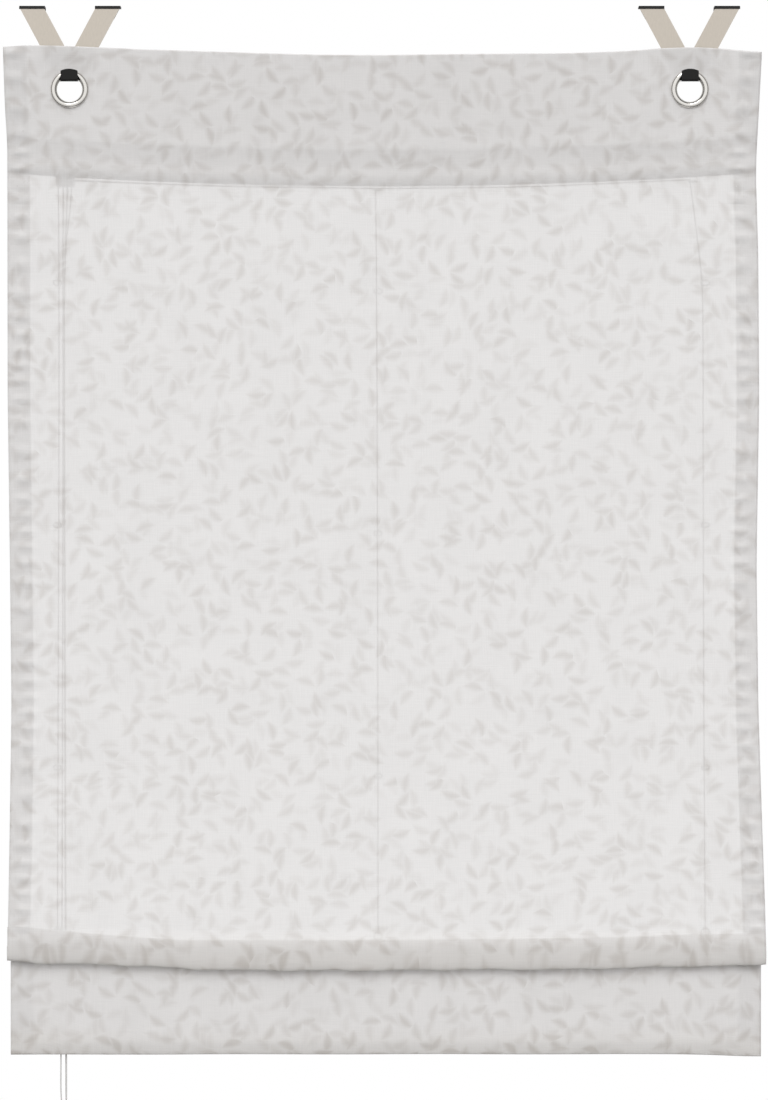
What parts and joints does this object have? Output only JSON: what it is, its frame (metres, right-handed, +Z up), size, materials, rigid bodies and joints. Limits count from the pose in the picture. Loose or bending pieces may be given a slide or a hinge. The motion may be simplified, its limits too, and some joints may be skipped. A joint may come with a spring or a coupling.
{
  "type": "roman blind",
  "caption": "Sheer roman blind with eyelets hung on V-shaped sash hooks, rod pocket, ring columns and lift cords, lowest fold drawn up above a weighted hem.",
  "frame": {"origin": "on the window sash's top edge, midway between the blind's two side edges, in the plane of the cloth", "axes": "+Z up; +X to the right as seen from the room; -Y towards the room, +Y towards the window"},
  "size_m": [1.007, 0.0342, 1.5392],
  "materials": {
    "voile": "sheer off-white voile with a tone-in-tone leaf print",
    "satin_nickel": "satin nickel plate",
    "eyelet_nickel": "nickel plate, half gloss",
    "black_rubber": "matt black",
    "aluminium_bar": "mill finish",
    "glass_fibre_rod": "drawn glass fibre, off-white",
    "clear_ring": "milky clear plastic",
    "white_cord": "braided white polyester cord",
    "white_plastic": "moulded white plastic"
  },
  "bodies": {
    "root": {"hook_left": "satin_nickel", "hook_right": "satin_nickel", "seat_sleeve_left_a": "black_rubber", "seat_sleeve_left_b": "black_rubber", "seat_sleeve_right_a": "black_rubber", "seat_sleeve_right_b": "black_rubber", "tongue_sleeve_left": "black_rubber", "tongue_sleeve_right": "black_rubber", "eyelet_front_left": "eyelet_nickel", "eyelet_front_right": "eyelet_nickel", "eyelet_washer_left": "eyelet_nickel", "eyelet_washer_right": "eyelet_nickel", "header": "voile", "panel": "voile", "top_rod": "glass_fibre_rod", "cord_guide": "white_plastic", "guide_ring_middle": "clear_ring", "guide_ring_right": "clear_ring", "lift_cord_left": "white_cord", "lift_cord_middle": "white_cord", "lift_cord_right": "white_cord", "pull_cord_1": "white_cord", "pull_cord_2": "white_cord", "pull_cord_3": "white_cord"},
    "bottom": {"hem": "voile", "weight_bar": "aluminium_bar", "ring_left_low": "clear_ring", "ring_middle_low": "clear_ring", "ring_right_low": "clear_ring", "tie_knot_left": "white_cord", "tie_knot_middle": "white_cord", "tie_knot_right": "white_cord"},
    "row_1": {"ring_left_1": "clear_ring", "ring_middle_1": "clear_ring", "ring_right_1": "clear_ring"},
    "row_2": {"ring_left_2": "clear_ring", "ring_middle_2": "clear_ring", "ring_right_2": "clear_ring"},
    "row_3": {"ring_left_3": "clear_ring", "ring_middle_3": "clear_ring", "ring_right_3": "clear_ring"},
    "pull": {"stop_knot_1": "white_cord", "stop_knot_2": "white_cord", "cord_weight": "white_plastic", "end_knot": "white_cord"}
  },
  "joints": [
    {"name": "raise", "type": "slide", "parent": "root", "child": "bottom", "axis": [0, 0, 1], "range_m": [0, 0.8628], "deforming": ["panel", "lift_cord_left", "lift_cord_middle", "lift_cord_right"]},
    {"name": "row_1_rise", "type": "slide", "parent": "root", "child": "row_1", "axis": [0, 0, 1], "range_m": [0, 0.0941]},
    {"name": "row_2_rise", "type": "slide", "parent": "root", "child": "row_2", "axis": [0, 0, 1], "range_m": [0, 0.3839]},
    {"name": "row_3_rise", "type": "slide", "parent": "root", "child": "row_3", "axis": [0, 0, 1], "range_m": [0, 0.6737]},
    {"name": "pull_down", "type": "slide", "parent": "root", "child": "pull", "axis": [0, 0, -1], "range_m": [0, 0.8633], "deforming": ["pull_cord_1", "pull_cord_2", "pull_cord_3"]}
  ],
  "couplings": [
    {"joint": "row_1_rise", "follows": "raise", "ratio": 0.1085},
    {"joint": "row_2_rise", "follows": "raise", "ratio": 0.4444},
    {"joint": "row_3_rise", "follows": "raise", "ratio": 0.7802},
    {"joint": "pull_down", "follows": "raise", "ratio": 1}
  ]
}
